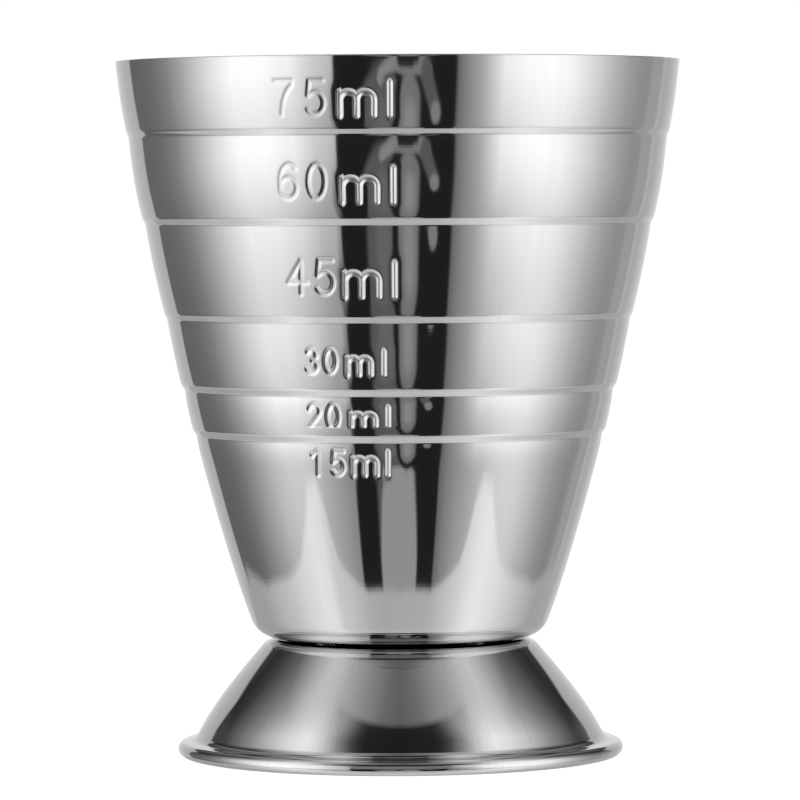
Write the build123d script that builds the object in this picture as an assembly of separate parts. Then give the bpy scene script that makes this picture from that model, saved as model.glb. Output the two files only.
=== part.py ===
"""Bar jigger: a stepped measuring cup standing on a flared foot.

Three separate pressings and joints of sheet steel, all of them turned about Z:
the cup, the foot, and the weld nuggets that hold the cup's floor to the foot's top.
The origin is the centre of the ring that the foot rests on, and +Z points up.
"""
from build123d import *
import os
from math import atan, cos, hypot, pi, radians, sin, sqrt, tan

# ---- driving dimensions, mm ----
HEIGHT = 66.0            # base to rim
SHEET = 0.5              # thickness of both pressings

# Cup. Slopes are millimetres of radius lost per millimetre of depth.
RIM_RADIUS = 26.75
RIM_SLOPE = 0.09
RIM_BREAK = 0.08         # small chamfer on both corners of the trimmed rim
RISER_HEIGHT = 0.6       # height of the short cone that makes each step
# Each step stands at the level of one graduation: the height of its foot, the radius
# there, how far the wall steps in, the slope of the band above it as it arrives, and
# the slope of the band below it as it leaves.
STEPS = (
    (58.80, 25.62, 0.35, 0.18, 0.09),   # 60 ml
    (50.57, 23.99, 0.31, 0.26, 0.15),   # 45 ml
    (41.60, 22.00, 0.27, 0.25, 0.17),   # 30 ml
    (34.85, 20.36, 0.38, 0.25, 0.10),   # 20 ml
    (30.55, 19.29, 0.37, 0.26, 0.12),   # 15 ml
)
SHOULDER = (27.5, 18.62, 0.27)          # height, radius and slope where the last cone starts
CUP_BASE = 11.30         # underside of the cup's floor
CORNER_RADIUS = 2.5      # outside of the corner between wall and floor
FLOOR_RADIUS = 11.80     # radius at which the floor starts to turn up

# Foot
FOOT_TOP = 11.15         # upper face of the foot's top plate
TOP_CORNER = 1.2         # radius of the corner round the top plate
TOP_RADIUS = 12.13       # radius at which the top plate starts to turn down
CONE_TOP_SLOPE = 0.86
CONE_BASE = (3.0, 18.67, 0.56)          # height, radius and slope at the foot of the cone
FLARE_RADIUS = 1.5       # hollow radius between the cone and the flange
FLANGE_ANGLE = 22.0      # how steeply the flange falls, degrees
HEM_CENTRE_RADIUS = 20.45
HEM_RADIUS = 0.72        # outside of the rolled edge
HEM_LIP = 0.6            # flat width of the rolled edge, which the jigger stands on

# Weld nuggets
NUGGET_COUNT = 3
NUGGET_CIRCLE = 8.0      # radius of the circle that they lie on
NUGGET_RADIUS = 1.1


def point(radius, height):
    """A point of a profile, drawn in the XZ plane."""
    return Vector(radius, 0, height)


def inward(slope):
    """Unit normal that points from the outside of a wall of this slope into the sheet."""
    return Vector(-1, 0, slope) / hypot(1, slope)


def band(top, bottom):
    """One smooth stretch of wall between two (height, radius, slope) stations."""
    (z0, r0, s0), (z1, r1, s1) = top, bottom
    third = (z0 - z1) / 3
    return Bezier(
        point(r0, z0),
        point(r0 - s0 * third, z0 - third),
        point(r1 + s1 * third, z1 + third),
        point(r1, z1),
    )


def moved_in(station, distance):
    """The same station on a surface that lies this far inside the sheet."""
    z, r, slope = station
    shift = inward(slope) * distance
    return (z + shift.Z, r + shift.X, slope)


def cup_bands():
    """The cup's outer wall as pairs of stations, from the rim down to the floor's corner."""
    angle_at_corner = atan(0.37)
    corner_height = CUP_BASE + CORNER_RADIUS
    tangent = (
        corner_height - CORNER_RADIUS * sin(angle_at_corner),
        FLOOR_RADIUS + CORNER_RADIUS * cos(angle_at_corner),
        tan(angle_at_corner),
    )
    bands = []
    start = (HEIGHT - RIM_BREAK, RIM_RADIUS, RIM_SLOPE)
    for height, radius, drop, slope_above, slope_below in STEPS:
        bands.append((start, (height + RISER_HEIGHT, radius + drop, slope_above)))
        start = (height, radius, slope_below)
    bands.append((start, SHOULDER))
    bands.append((SHOULDER, tangent))
    return bands


def wall_edges(bands, distance):
    """Edges of the wall's outer (distance 0) or inner face, joined by the risers."""
    edges = []
    last = None
    for top, bottom in bands:
        top_in = moved_in(top, distance)
        bottom_in = moved_in(bottom, distance)
        if last is not None and (last[0] - top_in[0]) > 0.05:
            edges.append(Line(point(last[1], last[0]), point(top_in[1], top_in[0])))
        edges.append(band(top_in, bottom_in))
        last = bottom_in
    return edges


def corner_arc(bands, distance):
    """The rounded corner between the wall and the floor, on either face of the sheet."""
    z, r, slope = moved_in(bands[-1][1], distance)
    radius = CORNER_RADIUS - distance
    centre = point(FLOOR_RADIUS, CUP_BASE + CORNER_RADIUS)
    start_angle = -atan(slope)
    middle = (start_angle - pi / 2) / 2
    return ThreePointArc(
        point(r, z),
        centre + point(radius * cos(middle), radius * sin(middle)),
        centre + point(0, -radius),
    )


def make_measuring_cup():
    """The drawn cup: stepped wall, rounded corner and flat floor, open at the top."""
    bands = cup_bands()
    outer = wall_edges(bands, 0)
    inner = wall_edges(bands, SHEET)
    outer_arc = corner_arc(bands, 0)
    inner_arc = corner_arc(bands, SHEET)
    rim_z, rim_r, _ = moved_in(bands[0][0], SHEET)
    rim_edge = list(Polyline(
        point(rim_r, rim_z),
        point(rim_r + RIM_BREAK, HEIGHT),
        point(RIM_RADIUS - RIM_BREAK, HEIGHT),
        point(RIM_RADIUS, HEIGHT - RIM_BREAK),
    ).edges())
    floor = [
        Line(point(FLOOR_RADIUS, CUP_BASE), point(0, CUP_BASE)),
        Line(point(0, CUP_BASE), point(0, CUP_BASE + SHEET)),
        Line(point(0, CUP_BASE + SHEET), point(FLOOR_RADIUS, CUP_BASE + SHEET)),
    ]
    wire = Wire(outer + [outer_arc] + floor + [inner_arc] + inner + rim_edge)
    return revolve(Face(wire), Axis.Z, 360)


def make_foot():
    """The foot: flat top plate, cone, hollow flare, sloping flange and rolled edge."""
    cone_angle = atan(CONE_TOP_SLOPE)
    corner_z = FOOT_TOP - TOP_CORNER
    cone_top = (
        corner_z + TOP_CORNER * sin(cone_angle),
        TOP_RADIUS + TOP_CORNER * cos(cone_angle),
        -CONE_TOP_SLOPE,
    )
    cone_base = (CONE_BASE[0], CONE_BASE[1], -CONE_BASE[2])
    fall = radians(FLANGE_ANGLE)
    hem_in = (HEM_CENTRE_RADIUS + HEM_RADIUS * sin(fall), HEM_RADIUS + HEM_RADIUS * cos(fall))
    # Where the cone, carried on straight, meets the flange.
    meet_r = (
        (cone_base[0] + cone_base[1] / CONE_BASE[2]) - (hem_in[1] + hem_in[0] * tan(fall))
    ) / (1 / CONE_BASE[2] - tan(fall))
    meet_z = hem_in[1] + (hem_in[0] - meet_r) * tan(fall)

    def face_edges(distance):
        """One face of the sheet from the centre of the top plate to the rolled edge."""
        radius = TOP_CORNER - distance
        middle = (cone_angle + pi / 2) / 2
        top_in = moved_in(cone_top, distance)
        base_in = moved_in(cone_base, distance)
        centre = point(TOP_RADIUS, corner_z)
        flange_shift = point(-sin(fall), -cos(fall)) * distance
        cone_shift = inward(-CONE_BASE[2]) * distance
        # The corner between cone and flange, moved in along both faces.
        half_turn = (atan(1 / CONE_BASE[2]) - fall) / 2
        between = (flange_shift + cone_shift) * (0.5 / cos(half_turn) ** 2)
        corner = point(meet_r, meet_z) + between
        end = point(hem_in[0], hem_in[1]) + flange_shift
        flare = FilletPolyline(
            point(base_in[1], base_in[0]), corner, end, radius=FLARE_RADIUS + distance
        )
        return [
            Line(point(0, FOOT_TOP - distance), point(TOP_RADIUS, FOOT_TOP - distance)),
            ThreePointArc(
                point(TOP_RADIUS, FOOT_TOP - distance),
                centre + point(radius * cos(middle), radius * sin(middle)),
                point(top_in[1], top_in[0]),
            ),
            band(top_in, base_in),
            *flare.edges(),
        ]

    def hem_arc(radius):
        """The rolled edge, from the flange round to the flat lip that the jigger stands on."""
        centre = point(HEM_CENTRE_RADIUS, HEM_RADIUS)
        middle = -fall / 2
        return ThreePointArc(
            centre + point(radius * sin(fall), radius * cos(fall)),
            centre + point(radius * cos(middle), radius * sin(middle)),
            centre + point(0, -radius),
        )

    lip_end = HEM_CENTRE_RADIUS - HEM_LIP
    lip = [
        Line(point(HEM_CENTRE_RADIUS, 0), point(lip_end, 0)),
        Line(point(lip_end, 0), point(lip_end, SHEET)),
        Line(point(lip_end, SHEET), point(HEM_CENTRE_RADIUS, SHEET)),
    ]
    centre_line = Line(point(0, FOOT_TOP), point(0, FOOT_TOP - SHEET))
    wire = Wire(
        face_edges(0) + [hem_arc(HEM_RADIUS)] + lip + [hem_arc(HEM_RADIUS - SHEET)]
        + face_edges(SHEET) + [centre_line]
    )
    return revolve(Face(wire), Axis.Z, 360)


def make_weld_nuggets():
    """The nuggets between the cup's floor and the foot's top plate, evenly spaced."""
    gap = CUP_BASE - FOOT_TOP
    nuggets = []
    for place in PolarLocations(NUGGET_CIRCLE, NUGGET_COUNT, start_angle=90):
        nugget = Solid.make_cylinder(NUGGET_RADIUS, gap)
        nuggets.append(place * Pos(0, 0, FOOT_TOP) * nugget)
    return Compound(children=nuggets)


def volume_below(height):
    """Millilitres that the cup holds up to this height, from its inner profile."""
    bands = cup_bands()
    profile = []
    corner = CUP_BASE + CORNER_RADIUS
    inner_radius = CORNER_RADIUS - SHEET
    floor = CUP_BASE + SHEET
    for edge in wall_edges(bands, SHEET):
        for step in range(21):
            at = edge @ (step / 20)
            profile.append((at.Z, at.X))
    low_z = profile[-1][0]
    for step in range(1, 21):
        z = low_z + (floor - low_z) * step / 20
        profile.append((z, FLOOR_RADIUS + sqrt(max(inner_radius ** 2 - (corner - z) ** 2, 0))))
    total = 0.0
    for (z0, r0), (z1, r1) in zip(profile, profile[1:]):
        top = min(z0, height)
        if top > z1:
            total += pi * (top - z1) * ((r0 + r1) / 2) ** 2
    return total / 1000


nodes = {
    "measuring_cup": make_measuring_cup(),
    "foot": make_foot(),
    "weld_nuggets": make_weld_nuggets(),
}
os.makedirs("parts", exist_ok=True)
for name, shape in nodes.items():
    export_step(shape, f"parts/{name}.step")
    box = shape.bounding_box()
    print(name, "volume", round(shape.volume, 1), "size", box.size)
for label, level in [("brim", HEIGHT)] + [(f"step {i + 1}", s[0]) for i, s in enumerate(STEPS)]:
    print(label, round(volume_below(level), 1), "ml")
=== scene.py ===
"""A bar jigger in polished steel: a stepped measuring cup on a flared foot, and its studio."""
import math

import bpy
import numpy as np
from mathutils import Matrix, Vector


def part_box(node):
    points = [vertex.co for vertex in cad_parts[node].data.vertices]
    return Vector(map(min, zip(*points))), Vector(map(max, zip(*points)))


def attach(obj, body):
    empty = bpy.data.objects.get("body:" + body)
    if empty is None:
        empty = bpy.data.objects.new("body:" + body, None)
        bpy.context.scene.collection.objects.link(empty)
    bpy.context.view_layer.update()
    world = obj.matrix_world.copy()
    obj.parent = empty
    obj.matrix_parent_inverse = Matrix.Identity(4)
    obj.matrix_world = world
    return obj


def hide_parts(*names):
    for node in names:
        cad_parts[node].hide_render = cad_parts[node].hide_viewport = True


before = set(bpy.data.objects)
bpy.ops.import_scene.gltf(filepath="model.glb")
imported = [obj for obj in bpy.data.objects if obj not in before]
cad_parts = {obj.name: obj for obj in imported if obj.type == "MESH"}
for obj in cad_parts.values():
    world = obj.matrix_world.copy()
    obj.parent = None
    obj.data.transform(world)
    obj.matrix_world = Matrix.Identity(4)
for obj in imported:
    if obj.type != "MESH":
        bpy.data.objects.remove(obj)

bl_info = {
    "name": "Bar jigger",
    "version": (1, 0, 0),
    "blender": (4, 5, 0),
    "location": "3D View > Sidebar > Jigger",
    "description": "Builds a stepped steel bar jigger with pressed volume marks",
    "category": "Add Mesh",
}

MM = 0.001
CUP_LOW, CUP_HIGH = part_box("measuring_cup")
FOOT_LOW, FOOT_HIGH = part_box("foot")

# ---- cup, millimetres; slopes are radius lost per millimetre of depth ----
HEIGHT = CUP_HIGH[2] / MM
RIM_RADIUS = CUP_HIGH[0] / MM
CUP_BASE = CUP_LOW[2] / MM
RIM_SLOPE = 0.100
# Height of the foot of each step, radius there, how far the wall steps in, slope of the
# band above as it arrives and slope of the band below as it leaves.
STEPS = (
    (58.80, 25.54, 0.25, 0.20, 0.09),
    (50.57, 23.99, 0.31, 0.26, 0.15),
    (41.60, 22.00, 0.27, 0.25, 0.17),
    (34.85, 20.36, 0.38, 0.25, 0.10),
    (30.55, 19.29, 0.37, 0.26, 0.12),
)
RISER_HEIGHT = 0.6       # height between the two stations of a step
CREASE_REACH = 0.09      # how far the riser runs past both stations
ROUND_TOP = 0.30         # height over which the wall turns into the riser, and out of it
ROUND_BOTTOM = 0.08
SHOULDER = (27.5, 18.62, 0.27)
RIM_ROUND = 0.07         # how far the rim's rounded edge falls to its faces
CORNER_RADIUS = 2.5
CORNER_SLOPE = 0.37
FLOOR_RADIUS = 11.80

# ---- foot, millimetres ----
FOOT_TOP = FOOT_HIGH[2] / MM
TOP_CORNER = 1.9
TOP_RADIUS = 11.68
CONE_TOP_SLOPE = 0.86
CONE_BASE = (3.0, 18.78, 0.56)
FLARE_RADIUS = 1.1
FLANGE_FALL = math.radians(11.0)
HEM_RADIUS = 0.72
HEM_CENTRE = FOOT_HIGH[0] / MM - HEM_RADIUS
HEM_LIP = 0.6            # flat width of the rolled edge
LIP_TOP = 0.92           # share of that width where the lip's end starts to turn
LIP_BREAK = 0.2          # share of the sheet that the turn takes
FOOT_COLUMNS = 216

NUGGET_CIRCLE = 8.0
NUGGET_COUNT = 3
NUGGET_TURN = math.radians(90.0)
SPOT_RADIUS = 1.5
SPOT_HEIGHT = 0.05
SPOT_ROWS = 13
SPOT_COLUMNS = 40

EDGE_SHARE = 0.24        # part of a groove's half width that each of its rounded edges takes
DIGIT_SHARE = 0.30       # depth of a digit's groove, as part of a letter's
DISH_DEPTH = 0.012       # depth and reach of the shallow dish round a groove
DISH_REACH = 0.75
SIDE_WEAR = 3            # how soon a groove's sides turn matt as they go down
BOTTOM_WEAR = 1.6        # how much more matt the bottom of a letter's groove is

# ---- how close together the rows and columns of the cup's mesh are ----
MARKS_MIDDLE = math.radians(-13.4)   # where round the wall the marks are
MARKS_REACH = math.radians(14.0)     # and how far to either side
FINEST_TURN = 0.198      # degrees between columns where the marks are
FINEST_ROW = 0.110       # millimetres between rows there
MARK_MARGIN = 0.36       # millimetres of fine rows above and below a mark
WIDEST_TURN = 3.4        # degrees between columns away from the marks
TURN_GROWTH = 40         # degrees more between columns for each radian from the marks
INNER_TURN = 2.6         # least degrees between columns of the inner face
WIDEST_ROW = 0.8         # millimetres between rows of the plain wall
STEP_ROW = 0.072         # and on a step, outside and inside
STEP_ROW_INNER = 0.14
WIDEST_ROW_INNER = 1.2
STEP_MARGIN = 0.12       # millimetres of close rows above and below a step
RIM_ROW = 0.12           # between rows over the top RIM_REACH
RIM_REACH = 0.5
RIM_POINTS = 7           # rows over the rim's rounded edge
CORNER_ROW = 0.22        # and round the corner, outside and inside
CORNER_ROW_INNER = 0.3
FLOOR_ROW = 1.2          # and across the floor
FLOOR_MARGIN = 0.2       # millimetres inside the corner where the floor's rows start

# ---- volume marks: text, height of the base line, capital height, how hard its digits are
# pressed, how far its letters sit below the line, and the place of each character's left
# side, measured round the wall from the front ----
MARKS = (
    ("75ml", 60.62, 3.05, 0.85, 0.12, (-11.55, -8.40, -5.32, -0.70)),
    ("60ml", 53.00, 3.12, 0.95, 0.36, (-11.12, -8.33, -5.15, -0.42)),
    ("45ml", 44.30, 3.06, 1.2, 0.25, (-10.42, -7.63, -4.95, -0.34)),
    ("30ml", 37.06, 2.12, 1.6, 0.15, (-8.70, -6.90, -4.78, -1.37)),
    ("20ml", 31.86, 2.22, 1.5, 0.20, (-8.55, -6.72, -4.46, -1.01)),
    ("15ml", 27.58, 2.16, 1.6, 0.0, (-8.28, -6.30, -4.30, -1.05)),
)


# ------------------------------------------------------------------ settings
class JiggerCupSettings(bpy.types.PropertyGroup):
    """Sizes and colour of the cup."""

    sheet: bpy.props.FloatProperty(
        name="Sheet", description="Thickness of the steel", default=0.5 * MM, unit="LENGTH"
    )
    groove_width: bpy.props.FloatProperty(
        name="Mark width", description="Width of a mark's groove", default=0.66 * MM, unit="LENGTH"
    )
    groove_depth: bpy.props.FloatProperty(
        name="Mark depth", description="Depth of a mark's groove", default=0.16 * MM, unit="LENGTH"
    )
    colour: bpy.props.FloatVectorProperty(
        name="Steel", description="Colour of the polished steel", subtype="COLOR",
        default=(0.640, 0.636, 0.632), size=3, min=0, max=1,
    )
    roughness: bpy.props.FloatProperty(
        name="Roughness", description="Blur of the polish", default=0.045, min=0, max=1
    )


class JiggerFootSettings(bpy.types.PropertyGroup):
    """Sizes and colour of the foot and the welds."""

    sheet: bpy.props.FloatProperty(
        name="Sheet", description="Thickness of the steel", default=0.5 * MM, unit="LENGTH"
    )
    colour: bpy.props.FloatVectorProperty(
        name="Steel", description="Colour of the spun steel", subtype="COLOR",
        default=(0.640, 0.634, 0.628), size=3, min=0, max=1,
    )
    weld_colour: bpy.props.FloatVectorProperty(
        name="Weld", description="Colour of the weld metal", subtype="COLOR",
        default=(0.43, 0.40, 0.36), size=3, min=0, max=1,
    )
    roughness: bpy.props.FloatProperty(
        name="Roughness", description="Blur of the spun finish", default=0.05, min=0, max=1
    )


class JiggerStudioSettings(bpy.types.PropertyGroup):
    """Floor, light and camera."""

    floor_colour: bpy.props.FloatVectorProperty(
        name="Floor", description="Colour of the floor", subtype="COLOR",
        default=(0.9, 0.9, 0.9), size=3, min=0, max=1,
    )
    eye_height: bpy.props.FloatProperty(
        name="Eye height", description="Height of the camera", default=54.14 * MM, unit="LENGTH"
    )
    eye_distance: bpy.props.FloatProperty(
        name="Distance", description="From camera to axis", default=533.7 * MM, unit="LENGTH"
    )
    tilt: bpy.props.FloatProperty(
        name="Tilt", description="How far the camera looks down",
        default=math.radians(2.188), subtype="ANGLE",
    )
    roll: bpy.props.FloatProperty(
        name="Roll", description="Turn about the line of sight",
        default=math.radians(-0.275), subtype="ANGLE",
    )
    lens: bpy.props.FloatProperty(
        name="Lens", description="Focal length in millimetres", default=252.7
    )


# ------------------------------------------------------------------ profiles
def stretch(top, bottom, heights):
    """Radius of one band of wall at the given heights: the cubic with the stations' radii
    and slopes at its ends, carried on straight past them."""
    (z0, r0, s0), (z1, r1, s1) = top, bottom
    depth = z0 - z1
    u = (z0 - heights) / depth
    inside = np.clip(u, 0, 1)
    cubic = (
        (2 * inside**3 - 3 * inside**2 + 1) * r0
        - (inside**3 - 2 * inside**2 + inside) * s0 * depth
        + (3 * inside**2 - 2 * inside**3) * r1
        - (inside**3 - inside**2) * s1 * depth
    )
    past = np.minimum(u, 0) * s0 + np.maximum(u - 1, 0) * s1
    return cubic - past * depth


def rounded_ramp(t, share):
    """Rises from 0 to 1 as t does: straight in the middle, with a parabola over `share` of
    its length at both ends, so its slope is a trapezoid."""
    t = np.clip(t, 0, 1)
    low = t**2 / (2 * share)
    high = 1 - share - (1 - t) ** 2 / (2 * share)
    middle = t - share / 2
    return np.where(t < share, low, np.where(t > 1 - share, high, middle)) / (1 - share)


def riser(height, above, below):
    """Heights and radii down one step, between the bands above and below it: the slope is
    the bands' own, mixed from one to the other, plus a trapezoid that makes up the drop,
    with a wide rounding at the top and a tight one at the bottom."""
    top, bottom = height + RISER_HEIGHT + CREASE_REACH, height - CREASE_REACH
    levels = np.linspace(top, bottom, 400)
    down = top - levels
    ends = [stretch(*above, levels[:1])[0], stretch(*below, levels[-1:])[0]]
    own = np.linspace(above[1][2], below[0][2], 400)
    extra = np.clip(down / ROUND_TOP, 0, 1) * np.clip(down[::-1] / ROUND_BOTTOM, 0, 1)
    summed = [
        np.concatenate([[0], np.cumsum(part[1:] + part[:-1]) * down[1] / 2]) for part in (own, extra)
    ]
    missing = ends[0] - ends[1] - summed[0][-1]
    return levels, ends[0] - summed[0] - summed[1] * missing / summed[1][-1]


def wall_radius(heights):
    """Outer radius of the cup at the given heights: one cubic band after another, each
    joined to the next by a riser where the wall steps in."""
    starts = [(HEIGHT, RIM_RADIUS, RIM_SLOPE), *((step[0], step[1], step[4]) for step in STEPS)]
    stops = [*((step[0] + RISER_HEIGHT, step[1] + step[2], step[3]) for step in STEPS), SHOULDER]
    bands = list(zip(starts, stops))
    radius = stretch(*bands[0], heights)
    for step, above, below in zip(STEPS, bands, bands[1:]):
        levels, down = riser(step[0], above, below)
        radius = np.where(heights < levels[0], np.interp(-heights, -levels, down), radius)
        radius = np.where(heights < levels[-1], stretch(*below, heights), radius)
    corner_angle = math.atan(CORNER_SLOPE)
    tangent = (
        CUP_BASE + CORNER_RADIUS * (1 - math.sin(corner_angle)),
        FLOOR_RADIUS + CORNER_RADIUS * math.cos(corner_angle),
        CORNER_SLOPE,
    )
    last = stretch(SHOULDER, tangent, heights)
    return np.where(heights < SHOULDER[0], last, radius)


def arc(centre, radius, start, end, count):
    """Points (radius, height) on a circular arc between two angles above the horizontal."""
    angles = np.linspace(start, end, count)
    return np.column_stack(
        [centre[0] + radius * np.cos(angles), centre[1] + radius * np.sin(angles)]
    )


def normals_of(path):
    """Unit normals on the left of a path, from the differences between its points."""
    along = np.gradient(path, axis=0)
    along /= np.maximum(np.linalg.norm(along, axis=1), 1e-12)[:, None]
    return np.column_stack([-along[:, 1], along[:, 0]])


def spread(path, spacing):
    """Rows along a path, `spacing` apart, where spacing holds a value for each point."""
    step = np.linalg.norm(np.diff(path, axis=0), axis=1)
    room = np.minimum(spacing[1:], spacing[:-1])
    count = np.concatenate([[0], np.cumsum(step / room)])
    rows = np.linspace(0, count[-1], int(math.ceil(count[-1])) + 1)
    return np.column_stack([np.interp(rows, count, path[:, 0]), np.interp(rows, count, path[:, 1])])


def cup_outer():
    """Dense outer profile of the cup, from the rim to the middle of the floor."""
    corner_angle = math.atan(CORNER_SLOPE)
    low = CUP_BASE + CORNER_RADIUS * (1 - math.sin(corner_angle))
    heights = np.linspace(HEIGHT, low, 12000)
    wall = np.column_stack([wall_radius(heights), heights])
    centre = (FLOOR_RADIUS, CUP_BASE + CORNER_RADIUS)
    corner = arc(centre, CORNER_RADIUS, -corner_angle, -math.pi / 2, 300)
    floor = np.column_stack([np.linspace(FLOOR_RADIUS, 0, 200), np.full(200, CUP_BASE)])
    return np.concatenate([wall, corner[1:], floor[1:]])


# ------------------------------------------------------------------ strokes of the marks
def bow(x, y, wide, high, start, end):
    """Points on part of an ellipse, between two angles in degrees."""
    angles = np.radians(np.linspace(start, end, 17))
    return np.column_stack([x + wide * np.cos(angles), y + high * np.sin(angles)])


def glyphs():
    """Single-stroke characters, one capital height tall, with the left side at x = 0."""
    hump_left = bow(0.26, 0.47, 0.26, 0.24, 180, 0)
    hump_right = hump_left + (0.52, 0)
    return {
        "0": [bow(0.26, 0.5, 0.26, 0.5, 0, 360)],
        "1": [np.array([(0.0, 0.82), (0.27, 1.0), (0.27, 0.0)])],
        "2": [np.concatenate([bow(0.25, 0.73, 0.25, 0.27, 165, -35), [(0.0, 0.0), (0.5, 0.0)]])],
        "3": [
            np.concatenate([bow(0.24, 0.75, 0.22, 0.25, 150, -80), bow(0.24, 0.26, 0.26, 0.26, 80, -150)])
        ],
        "4": [np.array([(0.62, 0.34), (0.0, 0.34), (0.42, 1.0), (0.42, 0.0)])],
        "5": [
            np.concatenate([[(0.5, 1.0), (0.08, 1.0), (0.04, 0.55)], bow(0.26, 0.33, 0.28, 0.33, 130, -145)])
        ],
        "6": [bow(0.27, 0.31, 0.27, 0.31, 0, 360), bow(0.30, 0.52, 0.30, 0.48, 50, 200)],
        "7": [np.concatenate([[(0.0, 1.0), (0.56, 1.0)], bow(0.86, 0.0, 0.62, 1.0, 120, 180)])],
        "l": [np.array([(0.0, 1.0), (0.0, 0.0)])],
        "m": [
            np.array([(0.0, 0.70), (0.0, 0.0)]),
            np.concatenate([hump_left, [(0.52, 0.0)]]),
            np.concatenate([hump_right, [(1.04, 0.0)]]),
        ],
    }


def distance_to(strokes, x, y):
    """Distance from each point to the nearest straight piece of any stroke."""
    nearest = np.full(x.shape, 1e6)
    for stroke in strokes:
        for (x0, y0), (x1, y1) in zip(stroke[:-1], stroke[1:]):
            dx, dy = x1 - x0, y1 - y0
            share = np.clip(((x - x0) * dx + (y - y0) * dy) / (dx * dx + dy * dy), 0, 1)
            nearest = np.minimum(nearest, np.hypot(x - x0 - share * dx, y - y0 - share * dy))
    return nearest


def mark_depth(angle, radius, height, width, depth):
    """How far the marks are pressed in at each point of the wall, from the distance d to
    the nearest stroke. Letters: a valley with straight sides and rounded edges, in a wide
    shallow dish that falls off as exp(-(d / reach)^2). Digits: a soft (1 - t^2)^2 at the
    share t of the groove's half width. Also how matt the punch left the steel."""
    shapes = glyphs()
    pressed, worn = np.zeros(angle.shape), np.zeros(angle.shape)
    for text, base, tall, press, drop, places in MARKS:
        rows = np.abs(height[:, 0] - base - tall / 2) < tall / 2 + 3 * DISH_REACH  # past any dish
        if not rows.any():
            continue
        x = angle[rows] * radius[rows]
        y = height[rows] + 0 * x

        def strokes_of(characters, lefts, line):
            """Every stroke of the characters, standing on a line at their places."""
            return [
                stroke * tall + (left, line)
                for character, left in zip(characters, lefts)
                for stroke in shapes[character]
            ]

        digits = distance_to(strokes_of(text[:-2], places, base), x, y)
        t = np.clip(2 * digits / width, 0, 1)
        soft = press * DIGIT_SHARE * depth * (1 - t**2) ** 2
        letters = distance_to(strokes_of(text[-2:], places[-2:], base - drop), x, y)
        steep = 2 * depth * (1 - rounded_ramp(0.5 + letters / width, EDGE_SHARE / 2))
        dish = DISH_DEPTH * np.exp(-((letters / DISH_REACH) ** 2))
        pressed[rows] = np.maximum(soft, steep + dish)
        deep = np.maximum(soft / (DIGIT_SHARE * depth), steep / depth)
        worn[rows] = np.clip(SIDE_WEAR * deep, 0, 1)
        worn[rows] += BOTTOM_WEAR * np.clip(1 - 4 * letters / width, 0, 1)
    return pressed, worn


# ------------------------------------------------------------------ meshes
def skin(rows_r, rows_z, angles, first):
    """Points and quads of a surface of revolution, numbered from `first`: the point of row
    i and column j lies at (r sin a, -r cos a, z)."""
    count_rows, count_columns = rows_r.shape
    x = rows_r * np.sin(angles)
    y = -rows_r * np.cos(angles)
    points = np.stack([x, y, rows_z + 0 * x], -1).reshape(-1, 3)
    row = np.arange(count_rows - 1)[:, None] * count_columns + first
    column = np.arange(count_columns)[None, :]
    after = (column + 1) % count_columns
    quads = np.stack(
        [row + column, row + count_columns + column, row + count_columns + after, row + after], -1
    )
    return points, quads.reshape(-1, 4)


def turned(name, inner, outer):
    """Closed mesh of two surfaces of revolution, each given as radii, heights and column
    angles. The first row of the inner one and the last row of the outer one shrink to
    single points on the axis. Where they meet, the inner one may have every so many of the
    outer one's columns: a fan of triangles about each of its points joins them."""
    (inner_r, inner_z, inner_angles), (outer_r, outer_z, outer_angles) = inner, outer
    inner_points, inner_quads = skin(inner_r[1:], inner_z[1:], inner_angles, 0)
    start = len(inner_points)
    outer_points, outer_quads = skin(outer_r[:-1], outer_z[:-1], outer_angles, start)
    top_pole = start + len(outer_points)
    poles = np.array([(0, 0, inner_z[0, 0]), (0, 0, outer_z[-1, 0])])
    points = np.concatenate([inner_points, outer_points, poles]) * MM

    few, many = inner_angles.size, outer_angles.size
    low_ring = start - few + np.arange(few)
    owner = np.searchsorted(inner_angles, outer_angles, side="right") - 1
    here = np.arange(many)
    after = (here + 1) % many
    fan = np.stack([low_ring[owner], start + here, start + after], -1)
    turn_over = owner[after] != owner
    gaps = np.stack(
        [low_ring[owner[turn_over]], start + after[turn_over], low_ring[owner[after[turn_over]]]], -1
    )
    column = np.arange(few)
    top = np.stack([0 * column + top_pole, column, (column + 1) % few], -1)
    last = top_pole - many
    bottom = np.stack([0 * here + top_pole + 1, last + after, last + here], -1)
    triangles = np.concatenate([fan, gaps, top, bottom])
    mesh = bpy.data.meshes.new(name)
    mesh.from_pydata(
        points.tolist(), [], inner_quads.tolist() + outer_quads.tolist() + triangles.tolist()
    )
    mesh.polygons.foreach_set("use_smooth", np.ones(len(mesh.polygons), dtype=bool))
    mesh.update()
    thing = bpy.data.objects.new(name, mesh)
    bpy.context.scene.collection.objects.link(thing)
    return thing


def cup_columns():
    """Angles round the cup: close together where the marks are, wide elsewhere, with gaps
    that grow in proportion to the distance from the marks."""
    turn = np.linspace(-math.pi, math.pi, 14401)
    near = np.maximum(np.abs(turn - MARKS_MIDDLE) - MARKS_REACH, 0)
    gap = np.radians(np.clip(FINEST_TURN + near * TURN_GROWTH, FINEST_TURN, WIDEST_TURN))
    path = np.column_stack([turn, 0 * turn])
    return spread(path, gap)[:-1, 0]


def near_marks(heights):
    """How far each height is from the rows that hold marks, in millimetres."""
    away = np.full(heights.shape, 1e6)
    for _, base, tall, _, drop, _ in MARKS:
        below, above = base - drop - MARK_MARGIN - heights, heights - base - tall - MARK_MARGIN
        away = np.minimum(away, np.maximum(np.maximum(below, above), 0))
    return away


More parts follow.
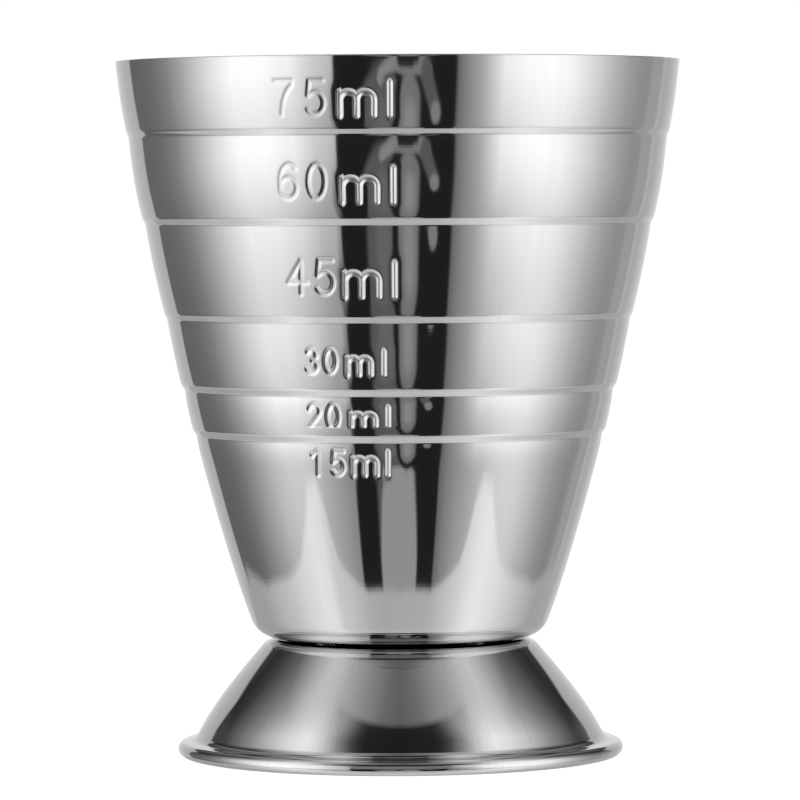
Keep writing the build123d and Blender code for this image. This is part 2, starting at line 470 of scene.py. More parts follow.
def near_steps(heights):
    """How far each height is from the risers, in millimetres."""
    away = np.full(heights.shape, 1e6)
    for step in STEPS:
        middle = step[0] + RISER_HEIGHT / 2
        away = np.minimum(away, np.maximum(np.abs(heights - middle) - RISER_HEIGHT / 2 - STEP_MARGIN, 0))
    return away


def build_cup(settings):
    """The cup: its outer profile r(z) turned about the axis and moved in along the wall's
    normal by mark_depth, the same profile one sheet further in for the inner face, and
    half an ellipse over the rim between them."""
    sheet = settings.sheet / MM
    width = settings.groove_width / MM
    depth = settings.groove_depth / MM
    angles = cup_columns()[None, :]
    path = cup_outer()
    height = path[:, 1]
    in_corner = np.abs(height - CUP_BASE) < CORNER_RADIUS
    in_corner &= path[:, 0] > FLOOR_RADIUS - FLOOR_MARGIN / 2
    on_floor = path[:, 0] < FLOOR_RADIUS - FLOOR_MARGIN

    fine = np.clip(FINEST_ROW + near_marks(height), FINEST_ROW, WIDEST_ROW)
    fine = np.minimum(fine, np.clip(STEP_ROW + near_steps(height), STEP_ROW, WIDEST_ROW))
    fine = np.where(height > HEIGHT - RIM_REACH, np.minimum(fine, RIM_ROW), fine)
    fine = np.where(in_corner, np.minimum(fine, CORNER_ROW), fine)
    fine = np.where(on_floor, FLOOR_ROW, fine)
    outer = spread(path, fine)
    outer_normal = normals_of(outer)
    radius = outer[:, :1] + 0 * angles
    level = outer[:, 1:2]
    pressed, worn = mark_depth(angles + 0 * radius, radius, level, width, depth)
    outer_r = radius - pressed * outer_normal[:, :1]
    outer_z = level - pressed * outer_normal[:, 1:2]

    coarse = np.clip(STEP_ROW_INNER + near_steps(height), STEP_ROW_INNER, WIDEST_ROW_INNER)
    coarse = np.where(in_corner, np.minimum(coarse, CORNER_ROW_INNER), coarse)
    coarse = np.where(on_floor, FLOOR_ROW, coarse)
    inner_path = path - normals_of(path) * sheet
    inner_path = inner_path[inner_path[:, 0] >= 0]
    inner_path[-1, 0] = 0
    inner = spread(inner_path, coarse[: len(inner_path)])[::-1]
    wanted = np.arange(-math.pi, angles[0, -1], math.radians(INNER_TURN))
    inner_angles = angles[:, np.unique(np.searchsorted(angles[0], wanted))]
    inner_r = inner[:, :1] + 0 * inner_angles
    inner_z = inner[:, 1:2] + 0 * inner_angles

    # The rim: half an ellipse from the inner face over to the outer one.
    rim_turn = np.linspace(0, math.pi, RIM_POINTS + 2)[1:-1]
    middle = (outer[0] + inner[-1]) / 2
    half = np.linalg.norm(outer[0] - inner[-1]) / 2
    rim = np.column_stack(
        [middle[0] - half * np.cos(rim_turn), HEIGHT - RIM_ROUND * (1 - np.sin(rim_turn))]
    )
    outer_z[0] -= RIM_ROUND
    inner_z[-1] -= RIM_ROUND
    rows_r = np.concatenate([rim[:, :1] + 0 * angles, outer_r])
    rows_z = np.concatenate([rim[:, 1:2] + 0 * angles, outer_z])
    cup = turned("cup_body", (inner_r, inner_z, inner_angles[0]), (rows_r, rows_z, angles[0]))
    matt = cup.data.attributes.new("matt", "FLOAT", "POINT")
    bare = np.zeros(inner_r[1:].size + rim[:, 0].size * angles.size)
    matt.data.foreach_set("value", np.concatenate([bare, worn[:-1].ravel(), [0, 0]]))
    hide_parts("measuring_cup")
    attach(cup, "root")
    return cup


def foot_face(shift):
    """Points of one face of the foot's sheet, from the middle of the top plate down to the
    rolled edge, moved in by `shift`: plate, corner arc, cubic cone, hollow arc, flange."""
    cone_angle = math.atan(CONE_TOP_SLOPE)
    corner = (TOP_RADIUS, FOOT_TOP - TOP_CORNER)
    plate = np.column_stack([np.linspace(0, TOP_RADIUS, 14), np.full(14, FOOT_TOP - shift)])
    top_arc = arc(corner, TOP_CORNER - shift, math.pi / 2, cone_angle, 14)
    r0, z0 = arc(corner, TOP_CORNER, cone_angle, cone_angle, 1)[0]
    z1, r1, s1 = CONE_BASE
    heights = np.linspace(z0, z1, 40)
    radius = stretch((z0, r0, -CONE_TOP_SLOPE), (z1, r1, -s1), heights)
    cone = np.column_stack([radius, heights])
    cone = cone - normals_of(cone) * shift
    base_angle = math.atan(s1)
    fall_angle = math.pi / 2 - FLANGE_FALL
    hem_in = arc((HEM_CENTRE, HEM_RADIUS), HEM_RADIUS, fall_angle, fall_angle, 1)[0]
    # Centre of the hollow arc: FLARE_RADIUS out from both the cone's and the flange's line.
    cone_out = np.array([math.cos(base_angle), math.sin(base_angle)])
    fall_out = np.array([math.cos(fall_angle), math.sin(fall_angle)])
    known = np.array([cone_out @ (r1, z1) + FLARE_RADIUS, fall_out @ hem_in + FLARE_RADIUS])
    centre = np.linalg.solve(np.array([cone_out, fall_out]), known)
    hollow = arc(centre, FLARE_RADIUS + shift, base_angle + math.pi, fall_angle + math.pi, 16)
    end = hem_in - fall_out * shift
    flange = hollow[-1] + (end - hollow[-1]) * np.linspace(0, 1, 10)[1:, None]
    return np.concatenate([plate, top_arc[1:], cone[1:], hollow, flange])


def build_foot(settings):
    """The foot: one closed line turned about the axis. It runs down the outer face, round
    the rolled edge in two arcs with a flat lip between them, and up the inner face."""
    sheet = settings.sheet / MM
    outer = foot_face(0)
    inner = foot_face(sheet)[::-1]
    fall_angle = math.pi / 2 - FLANGE_FALL
    centre = (HEM_CENTRE, HEM_RADIUS)
    roll_out = arc(centre, HEM_RADIUS, fall_angle, -math.pi / 2, 24)[1:]
    roll_in = arc(centre, HEM_RADIUS - sheet, -math.pi / 2, fall_angle, 14)[:-1]
    lip = np.array([
        (HEM_CENTRE - HEM_LIP * LIP_TOP, 0.0),
        (HEM_CENTRE - HEM_LIP, sheet * LIP_BREAK),
        (HEM_CENTRE - HEM_LIP, sheet * (1 - LIP_BREAK)),
        (HEM_CENTRE - HEM_LIP * LIP_TOP, sheet),
    ])
    rows = np.concatenate([outer, roll_out, lip, roll_in, inner])[::-1]
    angles = np.linspace(-math.pi, math.pi, FOOT_COLUMNS + 1)[None, :-1]
    radii, heights = rows[:, :1] + 0 * angles, rows[:, 1:] + 0 * angles
    half = len(inner)
    inside = (radii[:half], heights[:half], angles[0])
    outside = (radii[half:], heights[half:], angles[0])
    foot = turned("foot_shell", inside, outside)
    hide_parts("foot")
    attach(foot, "root")
    return foot


def build_spots(name, level, outward):
    """Marks left by the welding electrodes over the nuggets: shallow lenses whose height is
    h (1 - t^2)^2 at the share t of their radius, with a ring of h/3 (2t - 1)^2 pushed up
    at the edge, closed by a flat side that sinks into the sheet."""
    t = np.linspace(0, 1, SPOT_ROWS)
    top = SPOT_HEIGHT * ((1 - t**2) ** 2 + np.where(t > 0.5, (2 * t - 1) ** 2, 0) / 3)
    rows_r = np.concatenate([t, t[::-1]]) * SPOT_RADIUS
    rows_z = level + outward * np.concatenate([top, 0 * t - SPOT_HEIGHT])
    angles = np.linspace(-math.pi, math.pi, SPOT_COLUMNS + 1)[:-1]
    if outward > 0:
        rows_r, rows_z = rows_r[::-1], rows_z[::-1]
    radii, heights = rows_r[:, None] + 0 * angles, rows_z[:, None] + 0 * angles
    half = len(t)
    spots = turned(name, (radii[:half], heights[:half], angles), (radii[half:], heights[half:], angles))
    one = spots.data
    points = np.zeros(len(one.vertices) * 3)
    one.vertices.foreach_get("co", points)
    points = points.reshape(-1, 3)
    faces = [list(face.vertices) for face in one.polygons]
    turn = 2 * math.pi * np.arange(NUGGET_COUNT) / NUGGET_COUNT + NUGGET_TURN
    shift = np.stack([np.cos(turn), np.sin(turn), 0 * turn], -1) * NUGGET_CIRCLE * MM
    copies = (points + shift[:, None]).reshape(-1, 3)
    every = [[at + copy * len(points) for at in face] for copy in range(NUGGET_COUNT) for face in faces]
    mesh = bpy.data.meshes.new(name)
    mesh.from_pydata(copies.tolist(), [], every)
    mesh.polygons.foreach_set("use_smooth", np.ones(len(mesh.polygons), dtype=bool))
    spots.data = mesh
    bpy.data.meshes.remove(one)
    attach(spots, "root")
    return spots


# ------------------------------------------------------------------ nodes and materials
MATT_ROUGHNESS = 0.13    # roughness that matt steel adds to the polish


def wire(tree, kind, inputs=(), **options):
    """Adds a node, sets its options, and links or sets its inputs by name or number."""
    made = tree.nodes.new(kind)
    for key, value in options.items():
        setattr(made, key, value)
    for key, value in dict(inputs).items():
        socket = made.inputs[key]
        if isinstance(value, bpy.types.NodeSocket):
            tree.links.new(value, socket)
        else:
            socket.default_value = value
    return made


def maths(tree, operation, *values):
    """A Math node's output."""
    return wire(tree, "ShaderNodeMath", dict(enumerate(values)), operation=operation).outputs[0]


def ramp(tree, value, stops, interpolation="LINEAR"):
    """A colour ramp's output, from (place, brightness) stops."""
    made = wire(tree, "ShaderNodeValToRGB", {0: value})
    made.color_ramp.interpolation = interpolation
    elements = made.color_ramp.elements
    while len(elements) > 1:
        elements.remove(elements[-1])
    elements[0].position = stops[0][0]
    elements[0].color = (stops[0][1],) * 3 + (1,)
    for place, bright in stops[1:]:
        elements.new(place).color = (bright,) * 3 + (1,)
    return made.outputs[0]


def new_material(name):
    """An empty material and its Principled node."""
    material = bpy.data.materials.new(name)
    material.use_nodes = True
    return material, material.node_tree, material.node_tree.nodes["Principled BSDF"]


def steel(name, colour, roughness, lines, streaks):
    """Polished steel: rings left by the polishing wheel, as strong as `lines`, faint streaks
    down the wall, as strong as `streaks`, slow changes of polish, and the dull of "matt"."""
    material, tree, shader = new_material(name)
    place = wire(tree, "ShaderNodeTexCoord").outputs["Object"]
    rings = wire(tree, "ShaderNodeMapping", {0: place, "Scale": (90, 90, 5200)}).outputs[0]
    ring_noise = wire(
        tree, "ShaderNodeTexNoise", {"Vector": rings, "Scale": 1.0, "Detail": 3.0}
    ).outputs["Fac"]
    slow = wire(
        tree, "ShaderNodeTexNoise", {"Vector": place, "Scale": 55.0, "Detail": 4.0}
    ).outputs["Fac"]
    tint = wire(
        tree, "ShaderNodeMix",
        {0: slow, 6: (*[c * 0.975 for c in colour], 1), 7: (*[min(c * 1.02, 1) for c in colour], 1)},
        data_type="RGBA",
    ).outputs[2]
    outward = wire(
        tree, "ShaderNodeVectorMath", {0: place, 1: (1.0, 1.0, 0.0)}, operation="MULTIPLY"
    ).outputs[0]
    outward = wire(tree, "ShaderNodeVectorMath", {0: outward}, operation="NORMALIZE").outputs[0]
    lifted = wire(
        tree, "ShaderNodeVectorMath", {0: place, 1: (0.0, 0.0, 1.2), 2: outward},
        operation="MULTIPLY_ADD",
    ).outputs[0]
    streak_noise = wire(
        tree, "ShaderNodeTexNoise", {"Vector": lifted, "Scale": 62.0, "Detail": 4.0}
    ).outputs["Fac"]
    streak = wire(
        tree, "ShaderNodeMapRange",
        {0: streak_noise, 1: 0.25, 2: 0.75, 3: 1.0 - streaks, 4: 1.0 + 0.4 * streaks},
    ).outputs[0]
    tint = wire(
        tree, "ShaderNodeVectorMath", {0: tint, "Scale": streak}, operation="SCALE"
    ).outputs[0]
    tree.links.new(tint, shader.inputs["Base Color"])
    shader.inputs["Metallic"].default_value = 1.0
    polish = wire(
        tree, "ShaderNodeMapRange",
        {0: slow, 1: 0.3, 2: 0.75, 3: roughness * 0.8, 4: roughness * 1.3},
    ).outputs[0]
    matt = wire(tree, "ShaderNodeAttribute", attribute_name="matt").outputs["Fac"]
    blur = maths(tree, "MULTIPLY_ADD", matt, MATT_ROUGHNESS, polish)
    tree.links.new(blur, shader.inputs["Roughness"])
    bump = wire(
        tree, "ShaderNodeBump", {"Strength": lines, "Distance": 0.00002, "Height": ring_noise}
    ).outputs[0]
    tree.links.new(bump, shader.inputs["Normal"])
    return material


def heat_tint(name, colour):
    """Steel heated by a weld: straw and blue rings about each spot's middle, over a dull
    pressed surface with fine pits."""
    material, tree, shader = new_material(name)
    place = wire(tree, "ShaderNodeTexCoord").outputs["Object"]
    flat = wire(
        tree, "ShaderNodeVectorMath", {0: place, 1: (1.0, 1.0, 0.0)}, operation="MULTIPLY"
    ).outputs[0]
    away = None
    for k in range(NUGGET_COUNT):
        turn = 2 * math.pi * k / NUGGET_COUNT + NUGGET_TURN
        middle = (NUGGET_CIRCLE * MM * math.cos(turn), NUGGET_CIRCLE * MM * math.sin(turn), 0)
        here = wire(
            tree, "ShaderNodeVectorMath", {0: flat, 1: middle}, operation="DISTANCE"
        ).outputs["Value"]
        away = here if away is None else maths(tree, "MINIMUM", away, here)
    share = maths(tree, "DIVIDE", away, SPOT_RADIUS * MM)
    tint = wire(tree, "ShaderNodeValToRGB", {0: share})
    elements = tint.color_ramp.elements
    elements[0].color = (*colour, 1)
    elements[1].color = (0.58, 0.57, 0.56, 1)
    elements.new(0.55).color = (0.34, 0.33, 0.38, 1)    # blue
    elements.new(0.78).color = (0.55, 0.46, 0.32, 1)    # straw
    tree.links.new(tint.outputs[0], shader.inputs["Base Color"])
    shader.inputs["Metallic"].default_value = 1.0
    pits = wire(
        tree, "ShaderNodeTexNoise", {"Vector": place, "Scale": 2600.0, "Detail": 3.0}
    ).outputs["Fac"]
    rough = wire(tree, "ShaderNodeMapRange", {0: pits, 1: 0.3, 2: 0.7, 3: 0.28, 4: 0.42}).outputs[0]
    tree.links.new(rough, shader.inputs["Roughness"])
    bump = wire(
        tree, "ShaderNodeBump", {"Strength": 0.25, "Distance": 0.00003, "Height": pits}
    ).outputs[0]
    tree.links.new(bump, shader.inputs["Normal"])
    return material


# ------------------------------------------------------------------ studio light
STEEL_GREY = 0.64        # how much of the light the steel reflects
TABLE_SOFT = 0.4         # degrees over which the table's edge fades, to either side
FLOOR_REACH = 1500.0     # radius of the floor, millimetres
FLOOR_GLOW = 0.75
CAMERA_SHIFT = 0.0012    # how far the lens sits off the middle of the frame


def radiance(grey):
    """Light that polished steel shows as this display grey."""
    share = grey / 255
    linear = share / 12.92 if share <= 0.04045 else ((share + 0.055) / 1.055) ** 2.4
    return linear / STEEL_GREY


# Brightness round the jigger at several elevations, as (azimuth in degrees, display grey).
# Azimuth 0 is towards the camera, negative to its left.
RINGS = {
    -31: (
        (-180, 190), (-165, 176), (-150, 160), (-142, 152), (-140.6, 80), (-130, 83), (-120, 88),
        (-110, 103), (-100, 126), (-90, 149), (-80, 175), (-70, 193), (-60, 192), (-50, 178),
        (-40, 157), (-30, 136), (-28.5, 134), (-27.9, 29), (0, 29),
        (24.7, 29), (25.4, 100), (30, 124), (40, 152), (50, 176), (60, 196), (70, 204),
        (80, 199), (90, 178), (100, 155), (110, 134), (120, 120), (126, 126), (129, 143),
        (138, 148), (141, 162), (146, 155), (155, 166), (180, 188),
    ),
    -10: (
        (-180, 196), (-172, 186), (-165, 180), (-156, 172), (-150, 167), (-142, 164), (-140.6, 94),
        (-130, 98), (-120, 107), (-110, 127), (-100, 161), (-90, 200), (-80, 234), (-72, 255),
        (-58, 258), (-50, 248), (-45, 244), (-40, 225), (-35, 206), (-26.8, 188), (-26.1, 29),
        (0, 29),
        (24.1, 29), (24.9, 104), (30, 140), (35, 167), (40, 205), (45, 240), (55, 252), (65, 256),
        (75, 248), (90, 210), (100, 181), (110, 156), (120, 140), (127, 139), (129, 151),
        (138, 149), (141, 168), (145, 158), (150, 164), (160, 176), (168, 184), (180, 196),
    ),
    -4: (
        (-180, 196), (-172, 186), (-165, 180), (-156, 172), (-150, 167), (-142, 164), (-140.6, 94),
        (-130, 98), (-120, 107), (-110, 127), (-100, 161), (-90, 200), (-80, 234), (-72, 255),
        (-58, 258), (-50, 248), (-45, 244), (-40, 225), (-35, 206), (-26.8, 188), (-25.5, 112),
        (0, 108),
        (24, 112), (25.2, 124), (30, 140), (35, 167), (40, 205), (45, 240), (55, 252), (65, 256),
        (75, 248), (90, 210), (100, 181), (110, 156), (120, 140), (127, 139), (129, 151),
        (138, 149), (141, 168), (145, 158), (150, 164), (160, 176), (168, 184), (180, 196),
    ),
    20: (
        (-180, 200), (-165, 176), (-150, 162), (-142.5, 158), (-141, 52), (-132, 62), (-125, 86),
        (-117, 110), (-108, 142), (-98, 190), (-88, 226), (-75, 244), (-60, 246), (-45, 238),
        (-30, 190), (-26.8, 150), (-24, 118), (0, 118),
        (24, 118), (26.8, 150), (30, 190), (45, 238), (60, 246), (75, 244), (88, 226), (98, 190),
        (108, 142), (117, 110), (125, 86), (132, 62), (141, 52), (142.5, 158), (150, 162),
        (165, 176), (180, 200),
    ),
    22: (
        (-180, 60), (-150, 52), (-138, 40), (-130, 56), (-124, 82), (-117, 108), (-108, 142),
        (-98, 190), (-88, 226), (-75, 244), (-60, 246), (-45, 238), (-30, 190), (-27, 140),
        (-24, 116), (0, 116),
        (24, 116), (27, 140), (30, 190), (45, 238), (60, 246), (75, 244), (88, 226), (98, 190),
        (108, 142), (117, 108), (124, 82), (130, 56), (138, 40), (150, 52), (180, 60),
    ),
    45: (
        (-180, 57), (-165, 100), (-152, 140), (-140, 52), (-130, 60), (-120, 88), (-110, 118),
        (-100, 150), (-90, 184), (-80, 216), (-70, 233), (-62, 224), (-54, 190), (-46, 128),
        (-38, 60), (-30, 30), (0, 27),
        (30, 30), (38, 60), (46, 128), (54, 190), (62, 224), (70, 233), (80, 216), (90, 184),
        (100, 150), (110, 118), (120, 88), (130, 60), (140, 52), (152, 140), (165, 100), (180, 57),
    ),
    59.5: (
        (-180, 70), (-165, 112), (-150, 150), (-137, 168), (-120, 165), (-105, 172), (-90, 192),
        (-75, 186), (-66, 172), (-60, 152), (-50, 138), (-42, 106), (-34, 60), (-27, 36), (0, 29),
        (27, 36), (34, 60), (42, 106), (50, 138), (60, 152), (66, 172), (75, 186), (90, 192),
        (105, 172), (120, 165), (137, 168), (150, 150), (165, 112), (180, 70),
    ),
    62.2: (
        (-180, 90), (-165, 112), (-150, 150), (-137, 178), (-120, 180), (-100, 190), (-85, 188),
        (-65, 168), (-50, 150), (-35, 132), (-20, 106), (0, 93),
        (20, 106), (35, 132), (50, 150), (65, 168), (85, 188), (100, 190), (120, 180),
        (137, 178), (150, 150), (165, 112), (180, 90),
    ),
    80: (
        (-180, 98), (-150, 112), (-110, 128), (-60, 124), (0, 96), (60, 124), (110, 128),
        (150, 112), (180, 98),
    ),
}
# The white table under the jigger, by the same measure, at two elevations.
TABLE_RINGS = {
    -75: ((-180, 190), (0, 190), (180, 190)),
    -43: (
        (-180, 160), (-150, 150), (-125, 155), (-107, 178), (-92, 193), (-77, 214), (-64, 226),
        (-56, 222), (-50, 202), (-38, 189), (-25, 171), (-13, 165), (0, 167),
        (13, 168), (25, 172), (37, 191), (47, 206), (56, 224), (64, 231), (77, 222), (91, 205),
        (107, 183), (125, 158), (150, 158), (180, 160),
    ),
}
# Elevation at which the table's edge shows, by azimuth on either side.
TABLE_EDGE = (
    (0, -40.8), (25, -39.8), (32, -38.7), (39, -37.2), (45, -35.6), (48.5, -33.4), (51, -31.2),
    (55, -29.8), (62, -29.3), (68, -30.0), (76, -30.8), (84, -30.2), (92, -28.9), (101, -27.0),
    (116, -23.5), (136, -17.0), (150, -14.0), (180, -12.0),
)
# The dark stand in front of the jigger: round-ended bars between two places of (azimuth,
# elevation), with radius and softness in degrees and display grey, laid one over the other.
STAND = (
    ((-6.9, -18.6), (-6.6, -36.0), 7.4, 2.6, 84),
    ((-6.5, -20.0), (-6.5, -24.0), 3.6, 4.0, 98),
    ((-6.6, -38.6), (6.2, -38.6), 6.8, 1.6, 142),
    ((4.6, -17.0), (4.6, -25.2), 7.3, 1.2, 29),
    ((5.0, -17.3), (5.0, -25.6), 4.9, 1.6, 112),
    ((5.3, -19.6), (5.2, -24.6), 2.7, 3.4, 132),
    ((-6.5, -13.2), (-1.5, -11.3), 1.5, 1.2, 128),
    ((-1.0, -12.2), (11.5, -12.0), 0.7, 0.9, 118),
    ((0.8, -10.9), (6.4, -10.9), 0.9, 0.7, 34),
    ((10.6, -11.6), (12.6, -12.6), 1.6, 1.2, 118),
    ((12.0, -12.6), (16.0, -18.4), 2.0, 1.2, 84),
    ((16.0, -18.8), (16.2, -19.3), 1.9, 1.0, 122),
)


def ring(tree, azimuth, stops):
    """Brightness by azimuth: one ramp for each side of the studio, added together."""
    left = [((a + 180) / 180, radiance(g)) for a, g in stops if a <= 0]
    right = [(a / 180, radiance(g)) for a, g in stops if a >= 0]
    on_left = maths(tree, "LESS_THAN", azimuth, 0.0)
    left_place = maths(tree, "MULTIPLY_ADD", azimuth, 1 / 180, 1.0)
    right_place = maths(tree, "MULTIPLY", azimuth, 1 / 180)
    return wire(
        tree, "ShaderNodeMix",
        {0: on_left, 6: ramp(tree, right_place, right), 7: ramp(tree, left_place, left)},
        data_type="RGBA",
    ).outputs[2]


def blended(tree, azimuth, elevation, rings):
    """Brightness from rings at several elevations, mixed in proportion between them."""
    levels = sorted(rings)
    light = ring(tree, azimuth, rings[levels[0]])
    for low, high in zip(levels, levels[1:]):
        share = wire(
            tree, "ShaderNodeMapRange", {0: elevation, 1: float(low), 2: float(high), 3: 0.0, 4: 1.0}
        ).outputs[0]
        light = wire(
            tree, "ShaderNodeMix", {0: share, 6: light, 7: ring(tree, azimuth, rings[high])},
            data_type="RGBA",
        ).outputs[2]
    return light


def bar(tree, place, start, end, radius, softness):
    """1 inside a round-ended bar between two places and 0 outside it, from the distance to
    the bar's middle line."""
    start, end = np.array((*start, 0.0)), np.array((*end, 0.0))
    along = end - start
    from_start = wire(
        tree, "ShaderNodeVectorMath", {0: place, 1: tuple(start)}, operation="SUBTRACT"
    ).outputs[0]
    reach = wire(
        tree, "ShaderNodeVectorMath", {0: from_start, 1: tuple(along / (along @ along))},
        operation="DOT_PRODUCT",
    ).outputs["Value"]
    share = wire(tree, "ShaderNodeClamp", {0: reach}).outputs[0]
    nearest = wire(
        tree, "ShaderNodeVectorMath", {0: tuple(along), 3: share}, operation="SCALE"
    ).outputs[0]
    distance = wire(
        tree, "ShaderNodeVectorMath", {0: from_start, 1: nearest}, operation="DISTANCE"
    ).outputs["Value"]
    return wire(
        tree, "ShaderNodeMapRange",
        {0: distance, 1: radius - softness / 2, 2: radius + softness / 2, 3: 1.0, 4: 0.0},
        interpolation_type="SMOOTHSTEP",
    ).outputs[0]


def mixed(tree, share, first, second):
    """A colour mix: `first` where share is 0 and `second` where it is 1."""
    return wire(tree, "ShaderNodeMix", {0: share, 6: first, 7: second}, data_type="RGBA").outputs[2]


def build_world(scene):
    """The studio's light by direction: rings of soft panels, the dark stand in front, and
    the white table below its edge. The camera itself sees plain white."""
    world = bpy.data.worlds.new("studio_light")
    scene.world = world
    world.use_nodes = True
    tree = world.node_tree
    tree.nodes.clear()
    way = wire(tree, "ShaderNodeTexCoord").outputs["Generated"]
    parts = wire(tree, "ShaderNodeSeparateXYZ", {0: way}).outputs
    toward = maths(tree, "MULTIPLY", parts[1], -1.0)
    azimuth = maths(tree, "DEGREES", maths(tree, "ARCTAN2", parts[0], toward))
    elevation = maths(tree, "DEGREES", maths(tree, "ARCSINE", parts[2]))
    place = wire(tree, "ShaderNodeCombineXYZ", {0: azimuth, 1: elevation}).outputs[0]

    light = blended(tree, azimuth, elevation, RINGS)
    for start, end, radius, softness, grey in STAND:
        inside = bar(tree, place, start, end, radius, softness)
        light = mixed(tree, inside, light, (*([radiance(grey)] * 3), 1))

    lowest = min(edge for _, edge in TABLE_EDGE)
    stops = [(side / 180, edge / lowest) for side, edge in TABLE_EDGE]
    side = maths(tree, "MULTIPLY", maths(tree, "ABSOLUTE", azimuth), 1 / 180)
    edge = maths(tree, "MULTIPLY", ramp(tree, side, stops), lowest)
    above = maths(tree, "SUBTRACT", elevation, edge)
    share = wire(
        tree, "ShaderNodeMapRange", {0: above, 1: -TABLE_SOFT, 2: TABLE_SOFT, 3: 1.0, 4: 0.0}
    ).outputs[0]
    light = mixed(tree, share, light, blended(tree, azimuth, elevation, TABLE_RINGS))

    seen = wire(tree, "ShaderNodeLightPath").outputs["Is Camera Ray"]
    shown = mixed(tree, seen, light, (1.0, 1.0, 1.0, 1))
    background = wire(tree, "ShaderNodeBackground", {0: shown, 1: 1.0}).outputs[0]
    wire(tree, "ShaderNodeOutputWorld", {0: background})


def sheet_object(name, outline, height):
    """A flat sheet from an outline, as a fan of triangles about the origin."""
    points = np.column_stack([outline, np.full(len(outline), height)])
    points = np.concatenate([[(0, 0, height)], points]) * MM
    count = len(outline)
    here = np.arange(count)
    faces = np.stack([0 * here, here + 1, (here + 1) % count + 1], -1)
    mesh = bpy.data.meshes.new(name)
    mesh.from_pydata(points.tolist(), [], faces.tolist())
    thing = bpy.data.objects.new(name, mesh)
    bpy.context.scene.collection.objects.link(thing)
    return thing


def build_studio(settings):
    """The pale floor, the light and the camera. The steel reflects the light, not the floor."""
    scene = bpy.context.scene
    scene.view_settings.view_transform = "Standard"
    build_world(scene)

    turn = np.linspace(0, 2 * math.pi, 73)[:-1]
    floor = sheet_object("floor", FLOOR_REACH * np.column_stack([np.cos(turn), np.sin(turn)]), 0.0)
    material, tree, shader = new_material("pale_floor")
    shader.inputs["Base Color"].default_value = (*settings.floor_colour, 1)
    shader.inputs["Roughness"].default_value = 0.9
    shader.inputs["Emission Color"].default_value = (1, 1, 1, 1)
    shader.inputs["Emission Strength"].default_value = FLOOR_GLOW
    clear = wire(tree, "ShaderNodeBsdfTransparent").outputs[0]
    behind = wire(tree, "ShaderNodeNewGeometry").outputs["Backfacing"]
    both = wire(tree, "ShaderNodeMixShader", {0: behind, 1: shader.outputs[0], 2: clear}).outputs[0]
    tree.links.new(both, tree.nodes["Material Output"].inputs[0])
    floor.data.materials.append(material)
    floor.visible_glossy = False

    data = bpy.data.cameras.new("camera")
    data.sensor_width = 36.0
    data.lens = settings.lens
    data.shift_x = CAMERA_SHIFT
    data.clip_start = 0.01
    data.clip_end = 20
    camera = bpy.data.objects.new("camera", data)
    scene.collection.objects.link(camera)
    look = Matrix.Rotation(math.pi / 2 - settings.tilt, 4, "X") @ Matrix.Rotation(settings.roll, 4, "Z")
    camera.matrix_world = Matrix.Translation((0, -settings.eye_distance, settings.eye_height)) @ look
    scene.camera = camera


# ------------------------------------------------------------------ operators
class JIGGER_OT_cup(bpy.types.Operator):
    """Build the measuring cup with its steps and marks"""

    bl_idname = "jigger.cup"
    bl_label = "Measuring cup"

    def execute(self, context):
        settings = context.scene.jigger_cup
        cup = build_cup(settings)
        polish = steel("cup_polish", settings.colour, settings.roughness, lines=0.02, streaks=0.022)
        cup.data.materials.append(polish)
        return {"FINISHED"}


class JIGGER_OT_foot(bpy.types.Operator):
    """Build the flared foot with its rolled edge"""

    bl_idname = "jigger.foot"
    bl_label = "Foot"

    def execute(self, context):
        settings = context.scene.jigger_foot
        foot = build_foot(settings)
        spun = steel("foot_spun", settings.colour, settings.roughness, lines=0.03, streaks=0.05)
        foot.data.materials.append(spun)
        return {"FINISHED"}


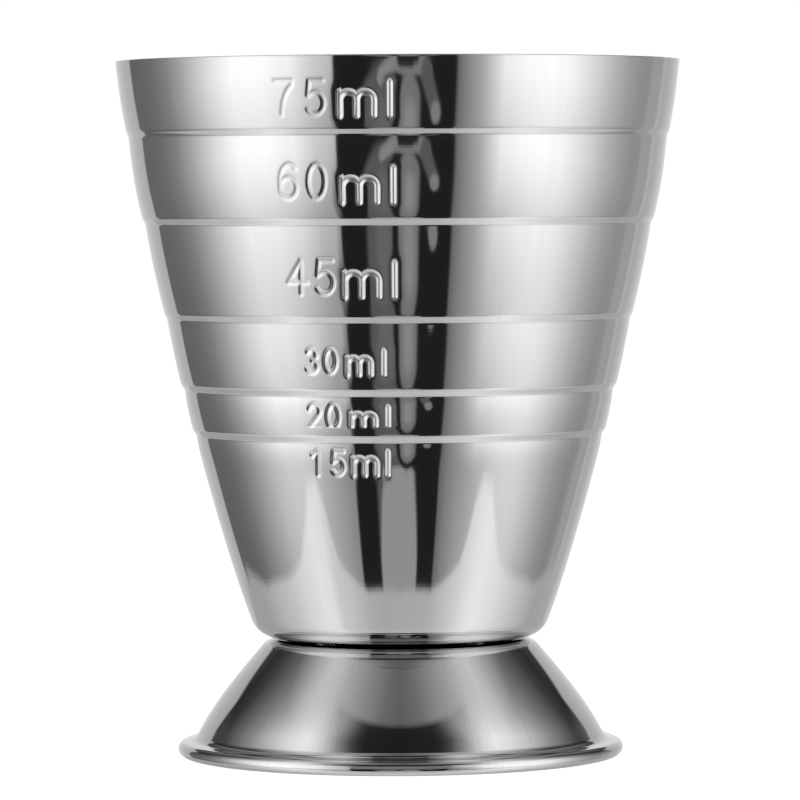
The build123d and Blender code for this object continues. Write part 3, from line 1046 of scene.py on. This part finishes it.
class JIGGER_OT_welds(bpy.types.Operator):
    """Finish the weld nuggets between cup and foot"""

    bl_idname = "jigger.welds"
    bl_label = "Welds"

    def execute(self, context):
        settings = context.scene.jigger_foot
        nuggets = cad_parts["weld_nuggets"]
        metal = steel("weld_metal", settings.weld_colour, roughness=0.35, lines=0.3, streaks=0.1)
        for slot in nuggets.material_slots:
            slot.material = metal
        if not nuggets.material_slots:
            nuggets.data.materials.append(metal)
        tinted = heat_tint("weld_spot", settings.weld_colour)
        above = build_spots("weld_spots_cup", CUP_BASE + context.scene.jigger_cup.sheet / MM, 1)
        above.data.materials.append(tinted)
        below = build_spots("weld_spots_foot", FOOT_TOP - settings.sheet / MM, -1)
        below.data.materials.append(tinted)
        return {"FINISHED"}


class JIGGER_OT_studio(bpy.types.Operator):
    """Set up the floor, the light and the camera"""

    bl_idname = "jigger.studio"
    bl_label = "Studio"

    def execute(self, context):
        build_studio(context.scene.jigger_studio)
        return {"FINISHED"}


class JIGGER_PT_panel(bpy.types.Panel):
    """The jigger's settings and build steps"""

    bl_idname = "JIGGER_PT_panel"
    bl_label = "Bar jigger"
    bl_space_type = "VIEW_3D"
    bl_region_type = "UI"
    bl_category = "Jigger"

    def draw(self, context):
        for name, _ in SETTINGS:
            group = getattr(context.scene, name)
            for key in group.__annotations__:
                self.layout.prop(group, key)
        for operator in OPERATORS:
            self.layout.operator(operator.bl_idname)


SETTINGS = (
    ("jigger_cup", JiggerCupSettings),
    ("jigger_foot", JiggerFootSettings),
    ("jigger_studio", JiggerStudioSettings),
)
OPERATORS = (JIGGER_OT_cup, JIGGER_OT_foot, JIGGER_OT_welds, JIGGER_OT_studio)


def register():
    """Registers the classes and hangs the settings on the scene."""
    for name, group in SETTINGS:
        bpy.utils.register_class(group)
        setattr(bpy.types.Scene, name, bpy.props.PointerProperty(type=group))
    for made in (*OPERATORS, JIGGER_PT_panel):
        bpy.utils.register_class(made)


def unregister():
    """Takes the classes and settings away again."""
    for made in (JIGGER_PT_panel, *reversed(OPERATORS)):
        bpy.utils.unregister_class(made)
    for name, group in reversed(SETTINGS):
        delattr(bpy.types.Scene, name)
        bpy.utils.unregister_class(group)


def main():
    """Builds everything in order."""
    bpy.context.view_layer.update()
    register()
    bpy.ops.jigger.cup()
    bpy.ops.jigger.foot()
    bpy.ops.jigger.welds()
    bpy.ops.jigger.studio()
    bpy.context.view_layer.update()


if __name__ == "__main__":
    main()
